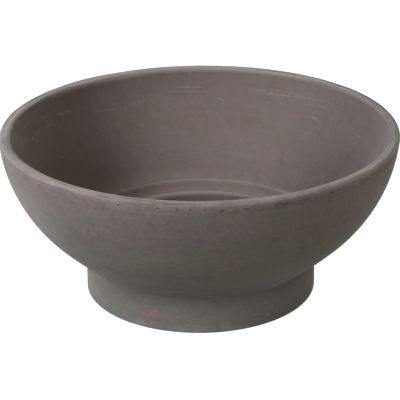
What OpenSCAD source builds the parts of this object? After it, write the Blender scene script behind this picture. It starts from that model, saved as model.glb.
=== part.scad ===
// Low footed planter bowl in unglazed clay: a thrown bowl with an open
// bottom, a rolled rim on its edge, and a hollow foot whose neck stands up
// through the bowl's opening. Slip fills the seam between them, and a coil of
// clay is smoothed over it inside.
// Millimetres, +Z up, origin at the centre of the foot on the ground.

/* [Bowl] */
// Greatest diameter, across the lip
bowl_d = 360; // [330:5:400]
// Height from the ground to the top of the lip
height = 155; // [145:1:170]
// Thickness of the clay wall
wall = 9.6; // [8:0.1:12]
// Radius of the round upper side
side_r = 139; // [125:1:150]
// Angle that the round upper side turns through
side_sweep = 39.5; // [32:0.5:46]
// Lean of the wall, out from the vertical, where it meets the rim
lip_lean = 5.1; // [1:0.1:8]

/* [Rim] */
// Height of the rolled rim's straight side, under its round top
rim_band = 0.6; // [0.2:0.1:4]

/* [Foot] */
// Diameter of the foot at the crease under the bowl
foot_d = 212; // [195:1:225]
// Diameter that the foot gains from the crease down to the ground
foot_flare = 1; // [0:0.1:6]
// Height of the foot up to the crease
foot_h = 33; // [28:1:38]
// Thickness of the foot's wall
foot_wall = 8.2; // [7:0.1:12]
// Thickness of the foot's floor
floor_t = 10; // [8:0.5:14]
// Height of the hollow under the floor
under_h = 3; // [2:0.5:5]
// Width of the ring that touches the ground
tread_w = 14; // [10:0.5:22]
// Radius of the cove between the floor and the wall, inside
cove_r = 9; // [3:0.5:12]
// Radius of the well's edge, inside at the top of the neck
edge_r = 2.4; // [1:0.1:3.5]
// Fall of the neck's top from its outer edge to the well
neck_fall = 2.2; // [1:0.1:4]
// Height of the neck's outer edge over the bowl's inner surface
neck_proud = 2.3; // [1.8:0.1:4]
// Width of the step on which the bowl's edge sits, outside the neck
step_w = 0.8; // [0.6:0.1:2]
// Radius of the small edge at the ground
ground_r = 0.6; // [0.3:0.1:2.5]
// Diameter of the drain hole
drain_d = 20; // [12:1:30]

/* [Seam] */
// Thickness of the slip between the neck and the bowl
slip_t = 0.5; // [0.3:0.1:0.6]
// Thickness of the coil that is smoothed over the seam
coil_t = 1.6; // [1:0.1:1.8]
// Width of the coil, from the neck to its crest
coil_w = 9.5; // [6:0.5:16]
// Width of the coil's outer edge, from its crest down to the bowl
coil_edge = 3; // [2:0.5:5]
// Radius of the coil's crest
crest_r = 5; // [2:0.5:8]

/* [Hidden] */
$fn = 180;
// Straight steps in the bowl's upper and lower arcs, and in a rounded corner
side_steps = 24;
belly_steps = 8;
corner_steps = 8;
clay = [0.44, 0.41, 0.39];
slip_clay = [0.38, 0.35, 0.33];

// The rim's round top is half a circle across the wall, and leans with it
rim_r = wall / 2;
rim_foot = [
    bowl_d / 2 - rim_r * (1 - cos(lip_lean)) - rim_band * sin(lip_lean),
    height - rim_r * (1 + sin(lip_lean)) - rim_band * cos(lip_lean)
];

foot_r = foot_d / 2;
neck_r = foot_r - step_w;
seat_r = neck_r + slip_t;
well_r = foot_r - foot_wall;
crease = [foot_r, foot_h + slip_t];
// How far the wall's outline runs on past the crease, to be cut to its seat
overrun = 3 * step_w;

// Point at a distance from another, in a direction in degrees
function step(from, distance, angle) = from + distance * [cos(angle), sin(angle)];

// The same angle, brought between -180 and 180
function wrapped(angle) = angle - 360 * round(angle / 360);

// Outer line of the wall as [point, direction of travel], from the rim down:
// an arc of side_r, then the one arc that is tangent to it and ends at the
// crease, and a short straight run past it
side_start = -90 - lip_lean;
side_end = side_start - side_sweep;
side_centre = step(rim_foot, side_r, side_start - 90);
turn_point = step(side_centre, -side_r, side_end - 90);
// The belly turns by twice the angle between its chord and its start. The
// least bend keeps it an arc where that angle comes out as nought
belly_chord = crease - turn_point;
least_bend = 0.0001;
belly_half = wrapped(atan2(belly_chord.y, belly_chord.x) - side_end) + least_bend;
function on_side(angle) = [step(side_centre, -side_r, angle - 90), angle];
function on_belly(share) = [
    step(
        turn_point,
        norm(belly_chord) * sin(belly_half * share) / sin(belly_half),
        side_end + belly_half * share
    ),
    side_end + 2 * belly_half * share
];
belly_end = on_belly(1);
wall_path = concat(
    [for (i = [0 : side_steps]) on_side(side_start - side_sweep * i / side_steps)],
    [for (i = [1 : belly_steps]) on_belly(i / belly_steps)],
    [[step(belly_end[0], overrun, belly_end[1]), belly_end[1]]]
);
// The same line moved into the clay by a depth
function wall_line(depth) = [for (p = wall_path) step(p[0], depth, p[1] - 90)];
inner_line = wall_line(wall);
// Height of the bowl's inner surface at a radius near the foot
function surface_z(radius) = lookup(radius, inner_line);
neck_top_z = surface_z(neck_r) + neck_proud;

function reverse(list) = [for (i = [len(list) - 1 : -1 : 0]) list[i]];
function unit(v) = v / norm(v);
function flat(p) = [p.x, p.y];

// Arc of points that rounds the corner b, which holds [x, y, radius]
function corner(a, b, c) =
    let (
        to_a = unit(flat(a) - flat(b)),
        to_c = unit(flat(c) - flat(b)),
        half = acos(to_a * to_c) / 2,
        centre = flat(b) + unit(to_a + to_c) * b[2] / sin(half),
        from = flat(b) + to_a * b[2] / tan(half) - centre,
        to = flat(b) + to_c * b[2] / tan(half) - centre,
        first = atan2(from.y, from.x),
        turn = atan2(from.x * to.y - from.y * to.x, from * to)
    )
    b[2] == 0 ? [flat(b)] :
    [for (i = [0 : corner_steps]) step(centre, b[2], first + turn * i / corner_steps)];

// Outline with each corner [x, y, radius] rounded by its own radius
function rounded(outline) =
    let (n = len(outline))
    [for (i = [0 : n - 1]) each corner(outline[(i + n - 1) % n], outline[i], outline[(i + 1) % n])];

// Half section of the wall, before it is cut to its seat on the foot
module wall_section() {
    polygon(concat(wall_line(0), reverse(inner_line)));
}

// Bowl: the wall alone, cut square under the rim, and cut at its open bottom
// to a round seat on the foot
module bowl() {
    color(clay)
    rotate_extrude()
    difference() {
        wall_section();
        square([seat_r, height]);
        square([bowl_d, crease.y]);
    }
}

// Rim: a roll of clay pressed onto the wall's edge, as wide as the wall
module rim_roll() {
    up = 90 - lip_lean;
    top_centre = step(step(rim_foot, rim_r, up + 90), rim_band, up);
    color(clay)
    rotate_extrude()
    polygon(concat(
        [rim_foot],
        [for (i = [0 : side_steps]) step(top_centre, rim_r, up - 90 + 180 * i / side_steps)],
        [step(rim_foot, wall, up + 90)]
    ));
}

// Foot: a hollow drum with a drained floor, standing on a ring. Its neck
// rises through the bowl, and the neck's top falls to the well inside
module foot() {
    ground_edge = foot_r + foot_flare / 2;
    floor_top = under_h + floor_t;
    tread_in = ground_edge - tread_w;
    color(clay)
    rotate_extrude()
    polygon(rounded([
        [drain_d / 2, under_h, 0],
        [tread_in - under_h, under_h, 0],
        [tread_in, 0, 0],
        [ground_edge, 0, ground_r],
        [foot_r, foot_h, 0],
        [neck_r, foot_h, 0],
        [neck_r, neck_top_z, 0],
        [well_r, neck_top_z - neck_fall, edge_r],
        [well_r, floor_top, cove_r],
        [drain_d / 2, floor_top, 0]
    ]));
}

// Slip: a thin layer that fills the seam, as a flat ring under the bowl's
// edge and as a sleeve round the neck
module seam_slip() {
    color(slip_clay)
    rotate_extrude()
    intersection() {
        polygon([
            [neck_r, foot_h],
            [foot_r, foot_h],
            crease,
            [seat_r, crease.y],
            [seat_r, height],
            [neck_r, height]
        ]);
        union() {
            wall_section();
            square(crease);
        }
    }
}

// Coil: a flattened roll of clay over the seam inside the bowl, with a soft
// crest at its outer edge. It takes the bowl's own surface as its underside
module seam_coil() {
    crest = neck_r + coil_w;
    edge = crest + coil_edge;
    color(clay)
    rotate_extrude()
    difference() {
        polygon(rounded([
            [neck_r, surface_z(neck_r) - coil_t, 0],
            [edge, surface_z(edge) - coil_t, 0],
            [edge, surface_z(edge), 0],
            [crest, surface_z(crest) + coil_t, crest_r],
            [neck_r, surface_z(neck_r) + coil_t, 0]
        ]));
        wall_section();
    }
}

bowl();
rim_roll();
foot();
seam_slip();
seam_coil();
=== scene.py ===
# A low footed planter bowl in unglazed grey-brown clay, in metres, built up
# piece by piece as the pot is put together while its clay is soft.
import math
import random

import bpy
from mathutils import Matrix, Vector


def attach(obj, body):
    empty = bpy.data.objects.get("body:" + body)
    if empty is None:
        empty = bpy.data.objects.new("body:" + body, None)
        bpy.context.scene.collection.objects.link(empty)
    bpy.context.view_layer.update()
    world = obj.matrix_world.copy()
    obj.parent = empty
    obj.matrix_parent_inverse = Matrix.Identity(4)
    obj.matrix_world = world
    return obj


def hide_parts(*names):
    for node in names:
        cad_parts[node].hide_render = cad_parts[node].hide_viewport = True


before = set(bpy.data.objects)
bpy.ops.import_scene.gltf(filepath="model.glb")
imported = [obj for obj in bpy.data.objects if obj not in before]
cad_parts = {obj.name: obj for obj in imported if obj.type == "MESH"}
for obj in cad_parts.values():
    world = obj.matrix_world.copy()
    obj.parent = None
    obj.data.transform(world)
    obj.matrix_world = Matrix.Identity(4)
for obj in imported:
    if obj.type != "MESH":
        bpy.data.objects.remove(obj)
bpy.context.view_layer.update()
MM = 0.001

# Camera: a long lens, a little over the rim, that looks down into the bowl as
# the photograph does. The square frame is as wide as the sensor.
focal_length = 130.1
sensor_width = 36.0
farthest_seen = 50.0
camera_distance = 1331.6 * MM
look_down = math.radians(23.07)
camera_roll = math.radians(-0.53)
aim = Vector((0, 0, 81.5 * MM))

camera = bpy.data.objects.new("camera", bpy.data.cameras.new("camera"))
bpy.context.collection.objects.link(camera)
camera.data.lens = focal_length
camera.data.sensor_width = sensor_width
camera.data.clip_end = farthest_seen
camera.location = aim + camera_distance * Vector((0, -math.cos(look_down), math.sin(look_down)))
tilt = Matrix.Rotation(math.pi / 2 - look_down, 3, "X") @ Matrix.Rotation(camera_roll, 3, "Z")
camera.rotation_euler = tilt.to_euler()
bpy.context.scene.camera = camera
bpy.context.scene.view_settings.view_transform = "Standard"

# Studio: a pale floor and an even surround that look white but hardly light
# the bowl, and soft boxes: a strong neutral one to the left, and weak warm ones.
floor_half = 6.0
floor_paint = 0.5
shadow_reach = (0.13, 0.42)
shadow_lift = 0.92
box_distance = 1.6
box_width = 0.9
soft_boxes = {
    # name: (turn from the front to the right, rise, watts, colour)
    "key_box": (-60, 34, 22.0, (1, 1, 1)),
    "front_box": (20, 15, 2.6, (1, 0.95, 0.76)),
    "fill_box": (50, 42, 3.3, (1, 0.95, 0.76)),
    "edge_box": (160, 12, 5.2, (1, 0.97, 0.84)),
}


def put(tree, kind, *inputs, **settings):
    """Adds a node to a tree, with its settings, and fills or links its inputs given as (key, value)."""
    node = tree.nodes.new(kind)
    for name, value in settings.items():
        setattr(node, name, value)
    for key, value in inputs:
        if isinstance(value, bpy.types.NodeSocket):
            tree.links.new(value, node.inputs[key])
        else:
            node.inputs[key].default_value = value
    return node


def maths(tree, operation, a, b=0.0):
    return put(tree, "ShaderNodeMath", (0, a), (1, b), operation=operation).outputs[0]


def vector_maths(tree, operation, a, b=(0, 0, 0), result="Vector"):
    return put(tree, "ShaderNodeVectorMath", (0, a), (1, b), operation=operation).outputs[result]


def seen_not_lit(tree):
    """1 for rays that see the studio, straight or in a reflection, and 0 for rays that light the bowl."""
    path = put(tree, "ShaderNodeLightPath").outputs
    seen = maths(tree, "MAXIMUM", path["Is Camera Ray"], path["Is Glossy Ray"])
    return maths(tree, "MAXIMUM", seen, path["Is Transmission Ray"])


def seen_or_lit(tree, lit, seen):
    """A shader that lights the bowl as one shader and is seen as another."""
    return put(tree, "ShaderNodeMixShader", (0, seen_not_lit(tree)), (1, lit), (2, seen)).outputs[0]


def make_surround():
    world = bpy.data.worlds.new("surround")
    world.use_nodes = True
    tree = world.node_tree
    tree.nodes.clear()
    dark = put(tree, "ShaderNodeBackground", ("Strength", 0.0)).outputs[0]
    white = put(tree, "ShaderNodeBackground", ("Color", (1, 1, 1, 1))).outputs[0]
    put(tree, "ShaderNodeOutputWorld", (0, seen_or_lit(tree, dark, white)))
    bpy.context.scene.world = world


def make_floor():
    """A floor that glows for the camera until it looks white, and a little less close to the foot."""
    corners = [(x * floor_half, y * floor_half, 0) for x, y in ((-1, -1), (1, -1), (1, 1), (-1, 1))]
    mesh = bpy.data.meshes.new("floor")
    mesh.from_pydata(corners, [], [(0, 1, 2, 3)])
    paint = bpy.data.materials.new("pale_floor")
    paint.use_nodes = True
    tree = paint.node_tree
    tree.nodes.clear()
    grey = (floor_paint, floor_paint, floor_paint, 1)
    lit = put(tree, "ShaderNodeBsdfDiffuse", ("Color", grey)).outputs[0]
    place = put(tree, "ShaderNodeTexCoord").outputs["Object"]
    glow = put(
        tree, "ShaderNodeMapRange",
        ("Value", vector_maths(tree, "LENGTH", place, result="Value")),
        ("From Min", shadow_reach[0]), ("From Max", shadow_reach[1]), ("To Min", shadow_lift),
        interpolation_type="SMOOTHSTEP",
    ).outputs[0]
    white = put(tree, "ShaderNodeEmission", ("Strength", glow)).outputs[0]
    bright = put(tree, "ShaderNodeAddShader", (0, lit), (1, white)).outputs[0]
    put(tree, "ShaderNodeOutputMaterial", (0, seen_or_lit(tree, lit, bright)))
    mesh.materials.append(paint)
    floor = bpy.data.objects.new("floor", mesh)
    bpy.context.collection.objects.link(floor)


def hang_soft_box(name, turn, rise, watts, colour):
    lamp = bpy.data.lights.new(name, "AREA")
    lamp.size = box_width
    lamp.energy = watts
    lamp.color = colour
    box = bpy.data.objects.new(name, lamp)
    bpy.context.collection.objects.link(box)
    turn, rise = math.radians(turn), math.radians(rise)
    away = Vector((math.sin(turn) * math.cos(rise), -math.cos(turn) * math.cos(rise), math.sin(rise)))
    box.location = aim + box_distance * away
    box.rotation_euler = away.to_track_quat("Z", "Y").to_euler()


make_surround()
make_floor()
for name, values in soft_boxes.items():
    hang_soft_box(name, *values)

# Foot: a hollow drum of unglazed clay, turned on the wheel, with a drained
# floor and a ring to stand on. Its neck goes up through the bowl. Its outline
# is turned round the axis in steps, and the hands leave slight waves in it.
foot_radius = 106.0
foot_height = 33.0
foot_flare = 0.5
ground_edge = 0.6
neck_radius = 105.2
neck_top = 47.3
neck_edge = 0.4
neck_fall = 2.2
well_radius = 97.8
well_edge = 1.4
cove = 9.0
floor_top = 13.0
under_height = 3.0
under_cove = 1.5
tread = 14.0
tread_edge = 0.8
drain_radius = 10.0
drain_top_edge = 1.2
drain_low_edge = 0.8
outline_spacing = 2.5
bend_spacing = 0.5
fewest_bend_steps = 4
steps_round = 540
# What the hands and the wheel leave in the clay, in metres
wave_height = 0.3 * MM
wave_length = 60 * MM
wave_detail = 1.0
ridge_height = 0.12 * MM
ridge_length = 4 * MM
sharp_above = math.radians(35)
weld_gap = 0.002 * MM
# A surface that faces outward by this much is outside, and one that faces inward by it is lining
side_blend = 0.25
# How much the radius counts, next to the height, in the way along an outline
radius_weight = 0.7


def rounded_outline(corners, spacing):
    """Points of a closed outline through corners (radius, height, rounding), at most a spacing apart."""
    bends = []
    for i, (radius, height, rounding) in enumerate(corners):
        here = Vector((radius, height))
        before = (Vector(corners[i - 1][:2]) - here).normalized()
        after = (Vector(corners[(i + 1) % len(corners)][:2]) - here).normalized()
        if not rounding:
            bends.append(here)
            continue
        half = before.angle(after) / 2
        centre = here + (before + after).normalized() * rounding / math.sin(half)
        first = here + before * rounding / math.tan(half) - centre
        last = here + after * rounding / math.tan(half) - centre
        turn = math.atan2(first.cross(last), first.dot(last))
        steps = max(fewest_bend_steps, math.ceil(abs(turn) * rounding / min(spacing, bend_spacing)))
        bends += [centre + Matrix.Rotation(turn * k / steps, 2) @ first for k in range(steps + 1)]
    points = []
    for a, b in zip(bends, bends[1:] + bends[:1]):
        runs = max(1, math.ceil((b - a).length / spacing))
        points += [a.lerp(b, k / runs) for k in range(runs)]
    return points


def added(tree, *values):
    total = values[0]
    for value in values[1:]:
        total = maths(tree, "ADD", total, value)
    return total


def times(tree, *values):
    product = values[0]
    for value in values[1:]:
        product = maths(tree, "MULTIPLY", product, value)
    return product


def scaled(tree, vector, factor):
    return put(tree, "ShaderNodeVectorMath", (0, vector), ("Scale", factor), operation="SCALE").outputs[0]


def upward(tree, length):
    """A vector of a length straight up."""
    return put(tree, "ShaderNodeCombineXYZ", ("Z", length)).outputs[0]


def height_of(tree, place):
    return put(tree, "ShaderNodeSeparateXYZ", (0, place)).outputs["Z"]


def level_part(tree, place):
    return vector_maths(tree, "MULTIPLY", place, (1, 1, 0))


def radius_of(tree, place):
    return vector_maths(tree, "LENGTH", level_part(tree, place), result="Value")


def noise(tree, place, size, detail=2.0, roughness=0.5, distortion=0.0):
    """Cloudy noise from 0 to 1 whose blots are about as wide as size."""
    return put(
        tree, "ShaderNodeTexNoise", ("Vector", place), ("Scale", 1 / size), ("Detail", detail),
        ("Roughness", roughness), ("Distortion", distortion),
    ).outputs[0]


def swing(tree, pattern, height):
    """Turns a pattern from 0 to 1 into one that swings as far under nought as over it."""
    return times(tree, maths(tree, "SUBTRACT", pattern, 0.5), height)


def ease(tree, value, low, high):
    """0 below low and 1 above high, with a soft step between, or the other way round where low is greater."""
    return put(
        tree, "ShaderNodeMapRange", ("Value", value), (1, low), (2, high), interpolation_type="SMOOTHSTEP"
    ).outputs[0]


def close_to(tree, value, middle, reach):
    """1 where a value is at the middle, and 0 from its reach to either side."""
    off = maths(tree, "ABSOLUTE", maths(tree, "SUBTRACT", value, middle))
    return ease(tree, off, reach, 0.0)


def past(tree, height, zone):
    """0 before a zone of two heights in millimetres and 1 past it, going from its first to its second."""
    return ease(tree, height, zone[0] * MM, zone[1] * MM)


def on_wheel(tree, place):
    """The outward direction at a place, and a measure of how far it is along the outline, up and out."""
    travel = maths(tree, "MULTIPLY", radius_of(tree, place), radius_weight)
    travel = maths(tree, "ADD", height_of(tree, place), travel)
    return vector_maths(tree, "NORMALIZE", level_part(tree, place)), travel


def new_tree(name, sockets):
    """A geometry tree that takes geometry and the named sockets, and gives geometry."""
    tree = bpy.data.node_groups.new(name, "GeometryNodeTree")
    tree.is_modifier = True
    for socket, kind in {"Geometry": "Geometry", **sockets}.items():
        tree.interface.new_socket(socket, in_out="INPUT", socket_type="NodeSocket" + kind)
    tree.interface.new_socket("Geometry", in_out="OUTPUT", socket_type="NodeSocketGeometry")
    return tree, tree.nodes.new("NodeGroupInput").outputs


def socket_id(tree, name):
    return next(s.identifier for s in tree.interface.items_tree if s.name == name and s.in_out == "INPUT")


def sampled(tree, source, value, index, kind):
    """What a value is at the point of a source that has the index."""
    return put(
        tree, "GeometryNodeSampleIndex",
        ("Geometry", source), ("Value", value), ("Index", index), data_type=kind,
    ).outputs[0]


def moved(tree, body, distance, direction):
    shift = scaled(tree, direction, distance)
    return put(tree, "GeometryNodeSetPosition", ("Geometry", body), ("Offset", shift)).outputs[0]


def stored(tree, body, name, value):
    return put(
        tree, "GeometryNodeStoreNamedAttribute",
        ("Geometry", body), ("Name", name), ("Value", value), data_type="FLOAT",
    ).outputs[0]


def finished(tree, body, sharp, clay):
    """Ends a tree: faces are smooth, but for edges that bend by more than sharp, and get their clay."""
    body = put(tree, "GeometryNodeSetShadeSmooth", ("Geometry", body), ("Shade Smooth", True)).outputs[0]
    bend = put(tree, "GeometryNodeInputMeshEdgeAngle").outputs["Unsigned Angle"]
    soft = put(tree, "FunctionNodeCompare", (0, bend), (1, sharp), operation="LESS_THAN").outputs[0]
    body = put(
        tree, "GeometryNodeSetShadeSmooth", ("Geometry", body), ("Shade Smooth", soft), domain="EDGE"
    ).outputs[0]
    body = put(tree, "GeometryNodeRealizeInstances", ("Geometry", body)).outputs[0]
    body = put(tree, "GeometryNodeSetMaterial", ("Geometry", body), ("Material", clay)).outputs[0]
    put(tree, "NodeGroupOutput", (0, body))


def turning_tree():
    """Turns a closed outline round the Z axis, and waves it in and out as hands do."""
    tree, given = new_tree("turned_clay", {
        "Steps round": "Int", "Wave height": "Float", "Wave length": "Float", "Ridge height": "Float",
        "Ridge length": "Float", "Sharp above": "Float", "Clay": "Material",
    })
    outline, steps = given["Geometry"], given["Steps round"]
    count = put(tree, "GeometryNodeAttributeDomainSize", ("Geometry", outline)).outputs["Point Count"]
    rows = maths(tree, "ADD", count, 1.0)
    columns = maths(tree, "ADD", steps, 1.0)
    grid = put(tree, "GeometryNodeMeshGrid", ("Vertices X", columns), ("Vertices Y", rows)).outputs["Mesh"]
    index = put(tree, "GeometryNodeInputIndex").outputs[0]
    column = maths(tree, "FLOOR", maths(tree, "DIVIDE", maths(tree, "ADD", index, 0.5), rows))
    row = maths(tree, "MODULO", maths(tree, "SUBTRACT", index, maths(tree, "MULTIPLY", column, rows)), count)
    place = put(tree, "GeometryNodeInputPosition").outputs[0]
    on_outline = sampled(tree, outline, place, row, "FLOAT_VECTOR")
    angle = maths(tree, "MULTIPLY", maths(tree, "DIVIDE", column, steps), 2 * math.pi)
    swung = put(
        tree, "ShaderNodeVectorRotate", ("Vector", on_outline), ("Angle", angle), rotation_type="Z_AXIS"
    ).outputs[0]
    body = put(tree, "GeometryNodeSetPosition", ("Geometry", grid), ("Position", swung)).outputs[0]
    body = put(tree, "GeometryNodeMergeByDistance", ("Geometry", body), ("Distance", weld_gap)).outputs[0]

    outward, travel = on_wheel(tree, place)
    waves = put(
        tree, "ShaderNodeTexNoise", ("Vector", place),
        ("Scale", maths(tree, "DIVIDE", 1.0, given["Wave length"])), ("Detail", wave_detail),
    ).outputs[0]
    ridge_place = upward(tree, maths(tree, "DIVIDE", travel, given["Ridge length"]))
    ridges = noise(tree, vector_maths(tree, "ADD", outward, ridge_place), 1.0)
    swell = added(tree, swing(tree, waves, given["Wave height"]), swing(tree, ridges, given["Ridge height"]))
    body = moved(tree, body, swell, outward)

    normal = put(tree, "GeometryNodeInputNormal").outputs[0]
    facing = vector_maths(tree, "DOT_PRODUCT", normal, outward, "Value")
    body = stored(tree, body, "lining", ease(tree, facing, side_blend, -side_blend))
    finished(tree, body, given["Sharp above"], given["Clay"])
    return tree


def shaped_by(piece, tree, values):
    """Runs a geometry tree on a piece with the named values, and keeps what comes out as its plain mesh."""
    modifier = piece.modifiers.new(tree.name, "NODES")
    modifier.node_group = tree
    for name, value in values.items():
        modifier[socket_id(tree, name)] = value
    mesh = bpy.data.meshes.new_from_object(piece.evaluated_get(bpy.context.evaluated_depsgraph_get()))
    piece.modifiers.clear()
    piece.data = mesh
    mesh.name = piece.name


def turned(name, outline, steps, clay):
    """A closed ring of clay turned from an outline of (radius, height) in millimetres."""
    count = len(outline)
    points = [(radius * MM, 0, height * MM) for radius, height in outline]
    ring = bpy.data.meshes.new(name + "_outline")
    ring.from_pydata(points, [(i, (i + 1) % count) for i in range(count)], [])
    piece = bpy.data.objects.new(name, ring)
    bpy.context.collection.objects.link(piece)
    shaped_by(piece, turning, {
        "Steps round": steps, "Wave height": wave_height, "Wave length": wave_length,
        "Ridge height": ridge_height, "Ridge length": ridge_length, "Sharp above": sharp_above, "Clay": clay,
    })
    return piece


def linear(red, green, blue):
    """The scene's colour for a colour as a screen shows it, from 0 to 255 a channel."""
    return (*(((c / 255 + 0.055) / 1.055) ** 2.4 for c in (red, green, blue)), 1)


mauve = linear(123, 112, 111)
olive = linear(117, 113, 104)
umber = linear(112, 99, 86)
ash = linear(149, 146, 143)
dust = linear(168, 160, 154)
dirt_and_shade = linear(38, 33, 30)
rose = linear(132, 109, 112)
lichen = linear(110, 112, 103)
dove = linear(118, 116, 114)
moss = linear(115, 111, 98)
pale_slate = linear(146, 142, 144)
heather = linear(124, 113, 117)
pale_heather = linear(146, 134, 137)
slate = linear(116, 114, 117)
# Patterns in the clay. Some are moved elsewhere, so that they don't follow the others
patterns = {
    # name: (width of a blot in millimetres, detail, roughness, distortion, whether it is moved)
    "clouds": (38, 4.0, 0.6, 0.8, False),
    "stains": (24, 3.0, 0.55, 0.5, False),
    "blush": (12, 4.0, 0.65, 0.8, False),
    "mossy": (14, 4.0, 0.65, 0.8, True),
    "drift": (26, 2.0, 0.5, 0.6, True),
    "mottle": (10, 4.0, 0.62, 0.0, False),
    "blots": (3.5, 2.0, 0.6, 0.0, False),
    "speckle": (1.5, 2.0, 0.6, 0.0, False),
    "grain": (0.7, 3.0, 0.65, 0.0, False),
}
elsewhere = (0.3, 0.1, 0.2)
# The ground colour goes from olive to mauve with the clouds, and more so inside and high up
red_zone = (70, 135)
red_rise = 0.22
red_range = (0.48, 0.74)
colour_clouds = [
    # pattern, where it starts and is full, its share, how much more it is outside, its colour
    ("stains", (0.52, 0.75), 0.5, 0.0, umber),
    ("blush", (0.52, 0.70), 0.45, 0.35, rose),
    ("mossy", (0.52, 0.70), 0.4, 0.35, lichen),
    ("drift", (0.52, 0.64), 0.0, 0.3, rose),
    ("drift", (0.48, 0.36), 0.0, 0.4, lichen),
]
# How much each finer pattern changes the tone
mottle_depth = 0.38
blot_depth = 0.24
speckle_depth = 0.32
wide_line_depth = 0.14
# Turned lines: their length round the wheel and their width, and the radius at which they are that long
fine_lines = (45 * MM, 1.3 * MM)
wide_lines = (120 * MM, 5 * MM)
line_radius = 170 * MM
wiped_lines = (0.2, 0.6)
# Grains: a few are pale specks, and a few are pinholes
grain_spacing = 7 * MM
grain_edge = (0.11, 0.05)
speck_above = 0.82
speck_share = 0.4
pinhole_above = 0.93
pinhole_share = 0.6
# A scuff fades at both ends, and the blots break it up
scuff_start = (-0.05, 0.2)
scuff_end = (1.05, 0.8)
scuff_breaks = (0.34, 0.62)
# Relief that is too fine for the mesh, and how dull the surface is
relief_height = 0.25 * MM
relief_strength = 0.35
grain_relief = 0.35
line_relief = 0.4
pinhole_relief = -0.8
least_roughness = 0.76
more_roughness = 0.2
diffuse_roughness = 0.6
sheen_roughness = 0.6


def blend(tree, share, a, b):
    """One colour that goes over into another by a share from 0 to 1."""
    return put(tree, "ShaderNodeMix", (0, share), (6, a), (7, b), data_type="RGBA").outputs[2]


def attribute(tree, name):
    return put(tree, "ShaderNodeAttribute", attribute_name=name).outputs["Fac"]


def pattern_of(tree, place, name):
    size, detail, roughness, distortion, is_moved = patterns[name]
    if is_moved:
        place = vector_maths(tree, "ADD", place, elsewhere)
    return noise(tree, place, size * MM, detail, roughness, distortion)


def turned_lines(tree, place, length, width):
    """Noise drawn out round the wheel, in lines of about the length and width given."""
    outward, travel = on_wheel(tree, place)
    stretched = scaled(tree, outward, line_radius / length)
    line = upward(tree, maths(tree, "DIVIDE", travel, width))
    return noise(tree, vector_maths(tree, "ADD", stretched, line), 1.0)


def scuffed(tree, place, start, end, width):
    """1 on a thin scratch between two places, each a turn in degrees and a height in millimetres."""
    middle = math.radians((start[0] + end[0]) / 2)
    forward = vector_maths(tree, "DOT_PRODUCT", place, (math.sin(middle), -math.cos(middle), 0), "Value")
    sideways = vector_maths(tree, "DOT_PRODUCT", place, (math.cos(middle), math.sin(middle), 0), "Value")
    turn = maths(tree, "DEGREES", maths(tree, "ARCTAN2", sideways, forward))
    share = maths(tree, "ADD", maths(tree, "DIVIDE", turn, end[0] - start[0]), 0.5)
    line = added(tree, times(tree, share, (end[1] - start[1]) * MM), start[1] * MM)
    ends = times(tree, ease(tree, share, *scuff_start), ease(tree, share, *scuff_end))
    return times(tree, close_to(tree, height_of(tree, place), line, width * MM), ends)


def place_at(turn, radius, height):
    """A place by its turn from the front to the right in degrees, and radius and height in millimetres."""
    turn = math.radians(turn)
    return Vector((math.sin(turn) * radius, -math.cos(turn) * radius, height)) * MM


def soft_patch(tree, place, turn, radius, height, reach, rise):
    """1 in the middle of a soft round patch, and 0 from its reach sideways and its rise up and down."""
    away = vector_maths(tree, "SUBTRACT", place, place_at(turn, radius, height))
    away = vector_maths(tree, "DIVIDE", away, Vector((reach, reach, rise)) * MM)
    return ease(tree, vector_maths(tree, "LENGTH", away, result="Value"), 1.0, 0.0)


def patched(tree, place, shade, patches):
    for patch, change in patches:
        shade = added(tree, shade, times(tree, soft_patch(tree, place, *patch), change))
    return shade


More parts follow.
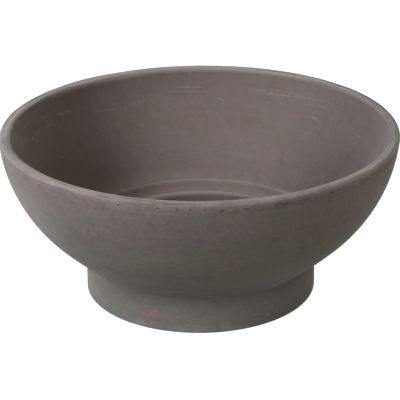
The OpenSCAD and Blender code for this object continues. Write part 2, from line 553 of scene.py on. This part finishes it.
def fired_clay(
    name, tone=1.0, lining_tone=1.0, far_tone=1.0, far_zone=(0, 1), reds_more=0.0, ash_share=0.0,
    ash_zone=None, line_depth=0.10, outer_grit=1.0, gloss=0.25, sheen=0.12, outer_painted_light=(),
    lining_painted_light=(), tints=(), rings=(), bands=(), scuffs=(), lining_scuffs=(),
):
    """Unglazed clay: red and green-grey clouds, mottling, turned lines, pale specks, pinholes and grain.
    The tone is its brightness outside, far_tone the share of it that is left past the far zone, and
    lining_tone its brightness inside, which on the bowl, the foot and the coil is raised as painted light.
    Soft patches are painted light and shade, with some of the clay's own paler and darker clouds; rings
    inside are painted highlights along ridges, partly clay wiped pale, and bands outside change the tone.
    Ash is clay that is wiped pale, tints change the colour over it, and scuffs are thin pale scratches.
    Pinholes and marks are darkened, partly as dirt and partly as painted shade in the hollows."""
    clay = bpy.data.materials.new(name)
    clay.use_nodes = True
    tree = clay.node_tree
    tree.nodes.clear()
    place = put(tree, "ShaderNodeTexCoord").outputs["Object"]
    height = height_of(tree, place)
    lining = attribute(tree, "lining")
    outer = maths(tree, "SUBTRACT", 1.0, lining)

    inside_or_high = maths(tree, "MAXIMUM", lining, past(tree, height, red_zone))
    reds = added(tree, times(tree, inside_or_high, red_rise), pattern_of(tree, place, "clouds"), reds_more)
    colour = blend(tree, ease(tree, reds, *red_range), olive, mauve)
    for cloud, edge, share, more_outside, tint in colour_clouds:
        share = added(tree, share, times(tree, outer, more_outside))
        cloudy = ease(tree, pattern_of(tree, place, cloud), *edge)
        colour = blend(tree, times(tree, cloudy, share), colour, tint)

    lines = turned_lines(tree, place, *fine_lines)
    mottle = pattern_of(tree, place, "mottle")
    blots = pattern_of(tree, place, "blots")
    # The outside's and the lining's tones, the far zone and the soft patches hold painted light and shade,
    # with some of the clay's own paler and darker clouds
    outer_shade = added(tree, tone, times(tree, past(tree, height, far_zone), tone * (far_tone - 1)))
    outer_shade = times(tree, outer, patched(tree, place, outer_shade, outer_painted_light))
    lining_shade = times(tree, lining, patched(tree, place, lining_tone, lining_painted_light))
    grit = added(
        tree,
        swing(tree, mottle, mottle_depth),
        swing(tree, blots, blot_depth),
        swing(tree, pattern_of(tree, place, "speckle"), speckle_depth),
        swing(tree, lines, line_depth),
        swing(tree, turned_lines(tree, place, *wide_lines), wide_line_depth),
    )
    grit = times(tree, grit, added(tree, 1.0, times(tree, outer, outer_grit - 1)))
    shade = added(tree, outer_shade, lining_shade, grit)
    radius = radius_of(tree, place)
    # Painted highlights along ridges inside, partly clay wiped pale
    for middle, half_width, change in rings:
        ring = close_to(tree, radius, middle * MM, half_width * MM)
        shade = added(tree, shade, times(tree, ring, lining, change))
    for middle, half_height, change in bands:
        band = close_to(tree, height, middle * MM, half_height * MM)
        shade = added(tree, shade, times(tree, band, outer, change))

    if ash_zone:
        wiped = times(tree, ease(tree, lines, *wiped_lines), past(tree, height, ash_zone), ash_share)
        colour = blend(tree, wiped, colour, ash)
    for patch, share, tint in tints:
        colour = blend(tree, times(tree, soft_patch(tree, place, *patch), share), colour, tint)
    grains = put(tree, "ShaderNodeTexVoronoi", ("Vector", place), ("Scale", 1 / grain_spacing))
    chance = put(tree, "ShaderNodeSeparateColor", (0, grains.outputs["Color"])).outputs
    near = ease(tree, grains.outputs["Distance"], *grain_edge)
    pale = times(tree, near, maths(tree, "GREATER_THAN", chance[0], speck_above), speck_share)
    pinhole = times(tree, near, maths(tree, "GREATER_THAN", chance[1], pinhole_above))
    broken = ease(tree, blots, *scuff_breaks)
    for side, scratches in ((outer, scuffs), (lining, lining_scuffs)):
        for start, end, width, share in scratches:
            scratch = times(tree, scuffed(tree, place, start, end, width), side, broken, share)
            pale = maths(tree, "MAXIMUM", pale, scratch)
    colour = blend(tree, pale, colour, dust)
    # Pinholes and the roll's pockets, cracks and wiped grooves are darkened, partly as dirt and partly as
    # painted shade in the hollows
    dark = maths(tree, "MAXIMUM", times(tree, pinhole, pinhole_share), attribute(tree, "mark"))
    colour = blend(tree, dark, colour, dirt_and_shade)

    relief = added(
        tree,
        times(tree, pattern_of(tree, place, "grain"), grain_relief),
        times(tree, lines, added(tree, line_relief, times(tree, lining, line_relief))),
        times(tree, pinhole, pinhole_relief),
    )
    bump = put(
        tree, "ShaderNodeBump",
        ("Strength", relief_strength), ("Distance", relief_height), ("Height", relief),
    ).outputs[0]
    roughness = added(tree, times(tree, mottle, more_roughness), least_roughness)
    surface = put(
        tree, "ShaderNodeBsdfPrincipled",
        ("Base Color", scaled(tree, colour, shade)), ("Roughness", roughness),
        ("Diffuse Roughness", diffuse_roughness), ("Specular IOR Level", gloss), ("Sheen Weight", sheen),
        ("Sheen Roughness", sheen_roughness), ("Normal", bump),
    )
    put(tree, "ShaderNodeOutputMaterial", (0, surface.outputs[0]))
    return clay


foot_painted_light = [
    # painted light and shade, with some of the clay's own paler and darker clouds; a soft patch: turn from
    # the front to the right in degrees, radius, height, reach, rise; change of tone
    ((21, 96, 16, 113, 42), 0.36), ((-73, 106, 28, 35, 62), 0.29), ((45, 106, 34, 43, 16), -0.23),
    ((-29, 106, 27, 40, 10), -0.12), ((26, 106, 2, 36, 8), 0.10), ((17, 106, 1, 20, 7), 0.26),
    ((-56, 106, 32, 40, 9), 0.13),
]
# Painted shade on the back of the neck's lining
foot_lining_painted_light = [((140, 103, 46, 62, 30), -0.55)]
foot_tints = [
    # a patch, its share and its colour
    ((0, 106, 14, 220, 60), 0.75, dove), ((-24, 106, 14, 36, 12), 0.55, rose),
    ((48, 106, 14, 80, 60), 0.35, slate), ((11.6, 106.4, 6, 8, 8), 0.3, dust),
    ((-31, 106.5, 3, 11, 6), 0.35, dust), ((-4, 106.4, 3, 30, 5), 0.2, dust),
]
foot_highlight_rings = [
    # a painted highlight along the neck's edge, partly clay wiped pale: radius, half the width, change of
    # tone
    (103.2, 5.4, 0.98),
]
foot_scuffs = [
    # start and end, each a turn and a height, then the width and the share
    ((-25.2, 18.0), (-21.0, 18.6), 1.6, 0.6), ((25.2, 13.1), (29.6, 10.3), 1.6, 0.5),
    ((32.0, 11.6), (35.6, 5.8), 1.5, 0.4), ((-25.2, 5.0), (-22.2, 6.6), 2.2, 0.4),
    ((26.6, 6.2), (29.8, 7.2), 1.8, 0.35), ((-10.0, 8.0), (-1.0, 6.6), 1.6, 0.3),
    ((33.5, 14.0), (37.0, 15.5), 1.3, 0.3), ((118.0, 14.0), (127.0, 12.0), 1.5, 0.5),
    ((201.0, 8.0), (207.0, 9.0), 1.7, 0.4),
]
ground_radius = foot_radius + foot_flare
foot_outline = rounded_outline([
    (drain_radius, under_height, drain_low_edge),
    (ground_radius - tread - under_height, under_height, under_cove),
    (ground_radius - tread, 0, tread_edge),
    (ground_radius, 0, ground_edge),
    (foot_radius, foot_height, 0),
    (neck_radius, foot_height, 0),
    (neck_radius, neck_top, neck_edge),
    (well_radius, neck_top - neck_fall, well_edge),
    (well_radius, floor_top, cove),
    (drain_radius, floor_top, drain_top_edge),
], outline_spacing)
turning = turning_tree()
# The foot's outside is a little darker near its top as painted shade under the bowl's overhang, and its
# lining is brighter as painted light
foot = turned("foot_drum", foot_outline, steps_round, fired_clay(
    "foot_clay", tone=1.10, lining_tone=1.28, far_tone=0.97, far_zone=(23, 25), reds_more=-0.06,
    outer_grit=1.35, outer_painted_light=foot_painted_light, lining_painted_light=foot_lining_painted_light, tints=foot_tints,
    rings=foot_highlight_rings, scuffs=foot_scuffs,
))
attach(foot, "root")
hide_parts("foot")

# Seam slip: the thin layer of wet clay that the joint is stuck with, a flat
# ring under the bowl's edge and a sleeve round the neck.
slip = 0.5
seat_top = 44.8

seat_radius = neck_radius + slip
crease = Vector((foot_radius, foot_height + slip))
seam_outline = rounded_outline([
    (neck_radius, foot_height, 0),
    (foot_radius, foot_height, 0),
    (foot_radius, crease.y, 0),
    (seat_radius, crease.y, 0),
    (seat_radius, seat_top, 0),
    (neck_radius, seat_top, 0),
], outline_spacing)
# The slip is set paler, a light line along the crease
seam = turned("seam_slip_ring", seam_outline, steps_round, fired_clay("slip_clay", tone=1.25))
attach(seam, "root")
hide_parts("seam_slip")

# Bowl: the dish wall, of the same clay, open at the bottom. Its outside is two
# arcs that run into each other, and its inside keeps one distance from them.
# Its upper edge is cut back a little, under the clay that is smeared over it.
lip_height = 155.0
bowl_radius = 179.8
wall = 9.6
rim_radius = wall / 2
rim_band = 0.6
lip_lean = math.radians(5.1)
side_radius = 139.0
side_sweep = math.radians(39.5)
side_steps = 80
belly_steps = 30
seat_gap = 0.5
bowl_steps_round = 400
# The cut under the smeared clay: its foot, its depth, and how far up its height it is that deep
smear_bottom = 145.2
smear_depth = 1.0
smear_full = 0.5
bowl_lining_scuffs = [
    # start and end, each a turn and a height, then the width and the share
    ((242.6, 126.0), (237.9, 126.6), 3.2, 0.55), ((262.7, 127.8), (255.9, 128.3), 1.8, 0.6),
    ((263.9, 131.1), (259.2, 133.8), 1.6, 0.6), ((250.8, 118.6), (248.2, 120.0), 2.2, 0.55),
    ((253.0, 124.0), (246.0, 126.5), 1.8, 0.45), ((268.0, 136.0), (263.0, 138.0), 1.6, 0.5),
    ((236.0, 132.0), (229.0, 131.0), 2.4, 0.42), ((247.0, 134.0), (240.0, 136.0), 1.9, 0.4),
    ((266.0, 122.0), (260.0, 125.0), 1.5, 0.5), ((258.0, 138.0), (250.0, 140.5), 1.5, 0.4),
    ((217.4, 122.3), (210.6, 121.5), 1.5, 0.36), ((211.5, 125.8), (208.4, 125.3), 1.4, 0.3),
    ((206.7, 121.6), (197.9, 125.2), 1.4, 0.3), ((188.8, 134.8), (177.4, 133.9), 2.2, 0.2),
    ((189.9, 131.0), (177.0, 130.0), 1.6, 0.22), ((174.2, 124.3), (170.3, 120.8), 1.4, 0.25),
    ((159.8, 131.7), (130.0, 136.2), 1.7, 0.28), ((163.0, 134.2), (141.0, 136.8), 2.2, 0.18),
    ((148.0, 129.0), (126.0, 131.2), 1.7, 0.18), ((152.6, 121.6), (149.8, 124.5), 1.7, 0.22),
    ((138.5, 119.0), (134.8, 117.4), 2.4, 0.2), ((120.0, 118.4), (104.0, 119.8), 1.9, 0.22),
    ((240.5, 95.5), (239.5, 95.6), 1.2, 0.5),
]
bowl_scuffs = [
    # the first two draw a thin pale line along the belly just over the crease
    ((-32.5, 40.6), (-9.0, 46.4), 1.9, 0.75), ((-12.0, 46.5), (7.0, 46.4), 1.6, 0.6),
    ((-36.5, 117.8), (-35.3, 117.9), 1.4, 0.6), ((-31.3, 120.9), (-30.5, 120.9), 1.2, 0.45),
]
bowl_painted_light = [
    # painted light and shade, with some of the clay's own paler and darker clouds: a soft patch and its
    # change of tone, as on the foot
    ((-6, 151, 94, 107, 29), 0.20), ((-65, 170, 109, 87, 59), 0.45), ((-31, 147, 109, 52, 36), -0.11),
    ((17, 156, 135, 74, 158), 0.18), ((61, 152, 121, 105, 67), 0.27),
]
# Painted light and shade on the lining, with some of the clay's own paler and darker clouds; the patch at the
# inner left edge under the rim lightens a face in shade
bowl_lining_painted_light = [
    ((202, 141, 159, 157, 56), -0.27), ((112, 111, 49, 119, 99), -0.45), ((223, 131, 77, 60, 220), -0.45),
    ((208, 86, 58, 109, 10), 0.38), ((109, 147, 127, 111, 162), -0.45), ((-140, 168, 151, 90, 5.5), 0.95),
    ((-90, 170, 145, 30, 14), 0.18),
]
bowl_tints = [
    # inside; the first, umber over the left, is painted warm shade
    ((-118, 145, 72, 80, 52), 0.7, umber), ((-138, 160, 128, 80, 30), 0.25, rose),
    ((-125, 165, 128, 90, 40), 0.8, mauve), ((205, 165, 140, 190, 32), 0.35, heather),
    ((125, 165, 135, 90, 60), 0.22, heather),
    # outside
    ((-52, 170, 125, 90, 60), 0.4, dove), ((-62, 178, 140, 40, 14), 0.6, moss),
    ((-80, 175, 130, 60, 60), 0.6, moss), ((-12, 178, 132, 60, 60), 0.4, mauve),
    ((-24, 150, 82, 80, 36), 0.45, moss), ((-24, 120, 48, 90, 22), 0.4, moss),
    ((24, 135, 74, 150, 62), 1.0, moss), ((44, 165, 108, 60, 45), 0.45, umber),
    ((62, 165, 108, 60, 60), 0.5, moss), ((-58.6, 176.7, 129.2, 1.5, 1.5), 0.7, dirt_and_shade),
    ((-76, 172, 122, 50, 60), 0.5, lichen), ((68, 170, 125, 50, 50), 0.35, slate),
]
# A painted highlight along the coil's outer edge, on the lining beside it
bowl_highlight_rings = [(118.3, 1.8, 0.12)]
bowl_crease_shade = [
    # painted shade over the crease: height, half of how high it is, change of tone
    (46, 14, -0.08),
]


def step(start, distance, angle):
    """The point at a distance from another, in the direction of an angle."""
    return start + distance * Vector((math.cos(angle), math.sin(angle)))


def wall_path(top, bottom):
    """Points of the outside from the rim down to the crease, each with the direction of travel there."""
    start = -math.pi / 2 - lip_lean
    end = start - side_sweep
    centre = step(top, side_radius, start - math.pi / 2)
    angles = [start - side_sweep * i / side_steps for i in range(side_steps + 1)]
    path = [(step(centre, -side_radius, angle - math.pi / 2), angle) for angle in angles]
    turn_point = path[-1][0]
    chord = bottom - turn_point
    half = math.remainder(math.atan2(chord.y, chord.x) - end, 2 * math.pi)
    for i in range(1, belly_steps + 1):
        bend = half * i / belly_steps
        reach = chord.length * math.sin(bend) / math.sin(half)
        path.append((step(turn_point, reach, end + bend), end + 2 * bend))
    return path


def height_at(line, radius):
    """Height at a radius, on a line of points that fall as they come nearer to the axis."""
    for a, b in zip(line, line[1:]):
        if b.x <= radius <= a.x:
            return b.y + (a.y - b.y) * (radius - b.x) / (a.x - b.x)
    return line[-1].y


def smear_at(height):
    """How deep the wall is cut back at a height, under the smeared clay."""
    share = (height - smear_bottom) / (rim_foot.y - smear_bottom)
    return smear_depth * min(1, share / smear_full)


rim_foot = Vector((
    bowl_radius - rim_radius * (1 - math.cos(lip_lean)) - rim_band * math.sin(lip_lean),
    lip_height - rim_radius * (1 + math.sin(lip_lean)) - rim_band * math.cos(lip_lean),
))
wall_run = wall_path(rim_foot, crease)
outside = [p for p, _ in wall_run]
inside = [step(p, wall, angle - math.pi / 2) for p, angle in wall_run]
recess = [step(p, smear_at(p.y), angle - math.pi / 2) for p, angle in wall_run if p.y > smear_bottom]
bare_wall = outside[len(recess):]
bowl_line = recess + bare_wall + [Vector((seat_radius, crease.y))]
bowl_line.append(Vector((seat_radius, height_at(inside, seat_radius))))
bowl_line += [p for p in inside if p.x > seat_radius + seat_gap][::-1]
# The bowl's outside is painted darker towards the bottom as painted shade under the belly, and its lining is
# brighter than its outside as painted light
bowl = turned("bowl_wall", bowl_line[::-1], bowl_steps_round, fired_clay(
    "bowl_clay", tone=1.136, lining_tone=1.42, far_tone=0.41, far_zone=(182, 30), outer_grit=1.35,
    outer_painted_light=bowl_painted_light, lining_painted_light=bowl_lining_painted_light, tints=bowl_tints, rings=bowl_highlight_rings,
    bands=bowl_crease_shade, scuffs=bowl_scuffs, lining_scuffs=bowl_lining_scuffs,
))
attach(bowl, "root")
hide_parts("bowl")

# Seam coil: a soft roll of clay pressed flat over the joint inside the bowl,
# with a soft crest at its outer edge.
coil_thickness = 1.6
coil_width = 9.5
coil_edge = 3.0
crest_rounding = 5.0
coil_root = 3.0
dip_radius = 109.5
dip_thickness = 1.1
dip_rounding = 3.0
coil_inner_rounding = 0.3
coil_spacing = 1.5
# Painted shade on the coil's back-left and back-right sides, where its crest turns from the light; its lining
# tone is painted light
coil_painted_light = [((135, 114, 51, 62, 30), -0.42), ((-140, 116, 51, 58, 30), -0.52)]
coil_tints = [((180, 112, 50, 50, 20), 0.3, dove)]
# Painted highlights along the crest and ridges, partly clay wiped pale
coil_highlight_rings = [(116.0, 3.4, 0.50), (113.6, 3.0, 0.22), (109.8, 2.6, 0.20), (107.2, 2.0, 0.38)]


def on_lining(radius, thickness, rounding=0):
    """A corner of the coil's outline, at a thickness over the bowl's inside."""
    return radius, height_at(inside, radius) + thickness, rounding


crest = neck_radius + coil_width
coil_outline = rounded_outline([
    on_lining(neck_radius, -coil_root),
    on_lining(crest + coil_edge, -coil_root),
    on_lining(crest + coil_edge, 0),
    on_lining(crest, coil_thickness, crest_rounding),
    on_lining(dip_radius, dip_thickness, dip_rounding),
    on_lining(neck_radius, coil_thickness, coil_inner_rounding),
], coil_spacing)
coil = turned("seam_coil_ring", coil_outline, steps_round, fired_clay(
    "coil_clay", lining_tone=1.43, lining_painted_light=coil_painted_light, tints=coil_tints, rings=coil_highlight_rings,
))
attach(coil, "root")
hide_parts("seam_coil")

# Rim roll: a roll of clay pressed onto the wall's edge and smeared down over
# it outside. Air pockets and short cracks stay open along the joint, and the
# wiping leaves shallow grooves along the roll.
roll_steps = 40
outer_squareness = 2.3
inner_squareness = 2.9
roll_fit = 0.97
skirt_steps = 16
rim_steps_round = 1300
lip_swell = 2.4 * MM
swollen_part = (-112, 170, 155, 215, 60)
swell_zone = (149.8, 152.5)
lip_sag = 0.9 * MM
sagging_part = (38, 175, 155, 260, 60)
sag_zone = (148, 151.5)
# Grooves: fine ones all over the roll, and wiped ones by radius, half the width and depth
groove_depth = 0.25 * MM
groove_length = 2.2 * MM
groove_runs = 3.0
groove_edge = (0.42, 0.62)
groove_zone = (150, 151)
wiped_grooves = [(172.4, 0.9, 0.4), (176.2, 0.8, 0.3)]
wiped_zone = (152, 153)
wiped_breaks = (40 * MM, 0.35, 0.6)
# how dark the wiped grooves are painted: partly dirt, partly painted shade
wiped_dark = 0.12
# Pockets of air: the front ones as they are seen, and more drawn for the sides and the back
pocket_edge = (1.15, 0.35)
pocket_depth = 0.8
wobble_size = 1.2 * MM
facing_out = (0.3, 0.6)
least_size = 0.001 * MM
front_pockets = [
    # turn from the front to the right in degrees, height, radius
    (-33.8, 148.3, 0.5), (-25.9, 148.4, 0.5), (-21.3, 148.9, 1.1), (-20.2, 149.3, 0.6), (-12.3, 149.8, 0.7),
    (-10.8, 149.6, 0.9), (-5.8, 149.8, 0.8), (-2.4, 150.0, 0.9), (5.6, 147.8, 1.4), (15.4, 145.9, 0.6),
]
joint_height = 149
pocket_seed = 23
pocket_count = 46
pocket_turns = (62, 320)
pocket_scatter = 0.8
pocket_sizes = (0.4, 1.1)
# Cracks where the joint has opened: the front ones as they are seen, and more drawn as the pockets are
crack_width = 0.48 * MM
crack_depth = 0.8 * MM
crack_edge = (1.0, 0.3)
crack_breaks = (4 * MM, 0.40, 0.52)
# how dark the cracks are painted: partly dirt, partly painted shade
crack_dark = 0.7
front_cracks = [
    # turn and height of one end, then of the other
    (1.0, 150.2, 5.0, 149.0), (10.3, 148.2, 12.4, 148.0), (19.4, 149.0, 22.6, 148.2),
    (22.6, 148.2, 26.8, 148.4), (26.8, 148.4, 31.5, 148.7), (36.0, 148.4, 45.0, 148.2),
    (47.0, 148.0, 60.0, 148.0), (61.5, 148.0, 77.0, 148.2),
]
crack_count = 16
crack_turns = (62, 310)
crack_scatter = 0.5
crack_lengths = (2, 8)
crack_slopes = (-0.5, 0.5)
crack_bends = (-0.25, 0.25)
fewest_crack_steps = 2
rim_scuffs = [((6.4, 147.6), (8.4, 148.4), 0.9, 0.5), ((-20.4, 150.2), (-17.0, 150.0), 0.8, 0.4)]
rim_bands = [(149.6, 3.4, 0.12)]
# Painted light and shade on the roll, with some of its own paler and darker clay: a soft patch and its change
# of tone
rim_painted_light = [
    ((-78, 176, 157, 75, 6), -0.34), ((-120, 178, 156, 90, 6), -0.36), ((100, 177, 157, 80, 7), -0.50),
    ((125, 177, 157, 60, 7), -0.40), ((-10, 180, 153, 90, 60), 0.10), ((57, 180, 150.2, 90, 5), 0.50),
    ((74, 180, 151.5, 52, 5), 0.50), ((50, 180, 152.5, 50, 4), 0.25), ((-69, 180, 146.5, 62, 7), 0.40),
    ((126, 178, 157, 130, 7), -0.75), ((-22, 180, 150, 30, 8), 0.12), ((-40, 180, 150, 26, 8), -0.12),
    ((24, 180, 149, 30, 9), -0.14), ((-84, 178, 150, 25, 8), 0.30), ((70, 180, 149, 35, 8), 0.13),
]
# Painted light and shade on the roll's lining; the strong one at the back left lightens a face in shade
rim_lining_painted_light = [
    ((-140, 168, 150, 95, 5), 1.50), ((-72, 174, 156, 66, 60), -0.30), ((170, 175, 155, 200, 200), 0.33),
    ((85, 175, 155, 110, 80), -0.34), ((-10, 175, 155, 90, 60), 0.10), ((25, 175, 155, 60, 60), -0.08),
    ((-57, 174, 156, 80, 60), -0.50), ((-8, 174, 156, 50, 60), -0.22), ((52, 174, 156, 45, 60), -0.28),
    ((-145, 172, 152, 85, 60), 0.20), ((-88, 172, 152, 40, 60), 0.16), ((112, 172, 152, 50, 60), -0.10),
]
rim_tints = [
    ((-90, 176, 152, 80, 40), 0.6, ash), ((85, 176, 152, 80, 40), 0.5, ash),
    ((-68, 180, 146, 60, 12), 0.5, lichen), ((32, 178, 155, 110, 8), 0.6, pale_heather),
    ((-145, 172, 152, 120, 12), 0.4, pale_slate), ((34, 180, 146, 90, 8), 0.35, heather),
    ((75, 180, 149, 60, 10), 0.4, slate),
]


def radius_at(height):
    """Radius of the bowl's outside at a height."""
    return height_at([Vector((p.y, p.x)) for p in outside], height)


def by_the_joint(turn, height):
    """A place on the outside of the roll or the wall under it, by its turn from the front and its height."""
    return place_at(turn, radius_at(height) if height < rim_foot.y else rim_foot.x, height)


def marks_mesh():
    """The pockets as loose points with their sizes, and the cracks as runs of edges."""
    draw = random.Random(pocket_seed)
    pockets = list(front_pockets)
    for _ in range(pocket_count):
        turn = draw.uniform(*pocket_turns)
        height = draw.gauss(joint_height, pocket_scatter)
        pockets.append((turn, height, draw.uniform(*pocket_sizes)))
    cracks = list(front_cracks)
    for _ in range(crack_count):
        turn = draw.uniform(*crack_turns)
        height = draw.gauss(joint_height, crack_scatter)
        turn_end = turn + draw.uniform(*crack_lengths)
        cracks.append((turn, height, turn_end, height + draw.uniform(*crack_slopes)))
    places = [by_the_joint(turn, height) for turn, height, _ in pockets]
    sizes = [size * MM for _, _, size in pockets]
    edges = []
    for turn, height, turn_end, height_end in cracks:
        steps = max(fewest_crack_steps, round(abs(turn_end - turn)))
        for k in range(steps + 1):
            share = k / steps
            if k:
                edges.append((len(places) - 1, len(places)))
            bent = height + share * (height_end - height) + draw.uniform(*crack_bends)
            places.append(by_the_joint(turn + share * (turn_end - turn), bent))
            sizes.append(0.0)
    mesh = bpy.data.meshes.new("rim_marks")
    mesh.from_pydata(places, edges, [])
    mesh.attributes.new("size", "FLOAT", "POINT").data.foreach_set("value", sizes)
    return mesh


def kept_value(tree, name):
    return put(tree, "GeometryNodeInputNamedAttribute", ("Name", name), data_type="FLOAT").outputs[0]


def broken_up(tree, place, size, low, high):
    """1 on stretches and 0 on others, about as long as size."""
    return ease(tree, noise(tree, place, size), low, high)


def pressing_tree():
    """Works the roll: grooves along it, pockets at the marks' points, and cracks along the marks' edges."""
    tree, given = new_tree("pressed_roll", {
        "Marks": "Object", "Groove depth": "Float", "Groove length": "Float", "Crack width": "Float",
        "Crack depth": "Float", "Lip swell": "Float", "Lip sag": "Float", "Sharp above": "Float",
        "Clay": "Material",
    })
    marks = put(tree, "GeometryNodeObjectInfo", ("Object", given["Marks"])).outputs["Geometry"]
    place = put(tree, "GeometryNodeInputPosition").outputs[0]
    normal = put(tree, "GeometryNodeInputNormal").outputs[0]
    outward, travel = on_wheel(tree, place)
    height = height_of(tree, place)

    groove_place = upward(tree, maths(tree, "DIVIDE", travel, given["Groove length"]))
    groove = noise(tree, vector_maths(tree, "ADD", scaled(tree, outward, groove_runs), groove_place), 1.0)
    grooved = times(tree, ease(tree, groove, *groove_edge), past(tree, height, groove_zone))
    cut = times(tree, grooved, given["Groove depth"])
    out = radius_of(tree, place)
    faint = broken_up(tree, place, *wiped_breaks)
    top = past(tree, height, wiped_zone)
    wiped = 0.0
    for radius, half_width, depth in wiped_grooves:
        line = times(tree, close_to(tree, out, radius * MM, half_width * MM), faint, top)
        cut = maths(tree, "MAXIMUM", cut, times(tree, line, depth * MM))
        wiped = maths(tree, "MAXIMUM", wiped, times(tree, line, wiped_dark))

    outside_only = ease(tree, vector_maths(tree, "DOT_PRODUCT", normal, outward, "Value"), *facing_out)
    wobble = maths(tree, "ADD", noise(tree, place, wobble_size), 0.5)
    nearest = put(
        tree, "GeometryNodeSampleNearest", ("Geometry", marks), ("Sample Position", place)
    ).outputs[0]
    size = sampled(tree, marks, kept_value(tree, "size"), nearest, "FLOAT")
    middle = sampled(tree, marks, place, nearest, "FLOAT_VECTOR")
    away = times(tree, vector_maths(tree, "DISTANCE", place, middle, "Value"), wobble)
    away = maths(tree, "DIVIDE", away, maths(tree, "MAXIMUM", size, least_size))
    pocket = times(tree, ease(tree, away, *pocket_edge), outside_only)
    cut = maths(tree, "MAXIMUM", cut, times(tree, pocket, times(tree, size, pocket_depth)))

    gap = put(
        tree, "GeometryNodeProximity", (0, marks), ("Sample Position", place), target_element="EDGES"
    ).outputs["Distance"]
    gap = maths(tree, "DIVIDE", times(tree, gap, wobble), given["Crack width"])
    torn = broken_up(tree, place, *crack_breaks)
    crack = times(tree, ease(tree, gap, *crack_edge), outside_only, torn)
    cut = maths(tree, "MAXIMUM", cut, times(tree, crack, given["Crack depth"]))
    # How dark each mark is painted: partly dirt, partly painted shade in the hollows
    mark = maths(tree, "MAXIMUM", maths(tree, "MAXIMUM", pocket, times(tree, crack, crack_dark)), wiped)
    body = stored(tree, given["Geometry"], "mark", mark)
    body = moved(tree, body, times(tree, cut, -1.0), normal)

    swell = times(tree, soft_patch(tree, place, *swollen_part), past(tree, height, swell_zone))
    swell = times(tree, swell, kept_value(tree, "lining"), given["Lip swell"])
    body = moved(tree, body, times(tree, swell, -1.0), outward)
    sag = times(tree, soft_patch(tree, place, *sagging_part), past(tree, height, sag_zone), given["Lip sag"])
    body = moved(tree, body, times(tree, sag, -1.0), (0, 0, 1))
    finished(tree, body, given["Sharp above"], given["Clay"])
    return tree


def roll_point(turn, squareness):
    """A point of the roll's round top, which is a little squarer than half a circle."""
    bend = 2 / squareness
    across = math.copysign(abs(math.cos(turn)) ** bend, math.cos(turn)) * rim_radius * roll_fit
    rise = max(0, math.sin(turn)) ** bend * rim_radius * roll_fit
    return step(step(roll_centre, across, up - math.pi / 2), rise, up)


up = math.pi / 2 - lip_lean
roll_centre = step(step(rim_foot, rim_radius, up + math.pi / 2), rim_band, up)
skirt_foot = bare_wall[0]
rim_line = []
for k in range(roll_steps + 1):
    squareness = outer_squareness if k < roll_steps / 2 else inner_squareness
    rim_line.append(roll_point(math.pi * k / roll_steps, squareness))
rim_line.append(step(rim_foot, wall, up + math.pi / 2))
rim_line += recess + [skirt_foot]
for k in range(1, skirt_steps):
    height = skirt_foot.y + (rim_foot.y - skirt_foot.y) * k / skirt_steps
    rim_line.append(Vector((radius_at(height), height)))
rim_line.append(rim_foot)
rim_clay = fired_clay(
    "rim_clay", tone=1.16, lining_tone=1.34, far_tone=1.10, far_zone=(150, 155.2), ash_share=0.9,
    ash_zone=(150.6, 153.0), line_depth=0.35, outer_grit=1.6, gloss=0.12, sheen=0.06,
    outer_painted_light=rim_painted_light, lining_painted_light=rim_lining_painted_light, tints=rim_tints, bands=rim_bands,
    scuffs=rim_scuffs,
)
rim = turned("rim_roll_ring", rim_line, rim_steps_round, rim_clay)
marks = bpy.data.objects.new("rim_marks", marks_mesh())
bpy.context.collection.objects.link(marks)
shaped_by(rim, pressing_tree(), {
    "Marks": marks, "Groove depth": groove_depth, "Groove length": groove_length,
    "Crack width": crack_width, "Crack depth": crack_depth, "Lip swell": lip_swell, "Lip sag": lip_sag,
    "Sharp above": sharp_above, "Clay": rim_clay,
})
bpy.data.objects.remove(marks)
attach(rim, "root")
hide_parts("rim_roll")
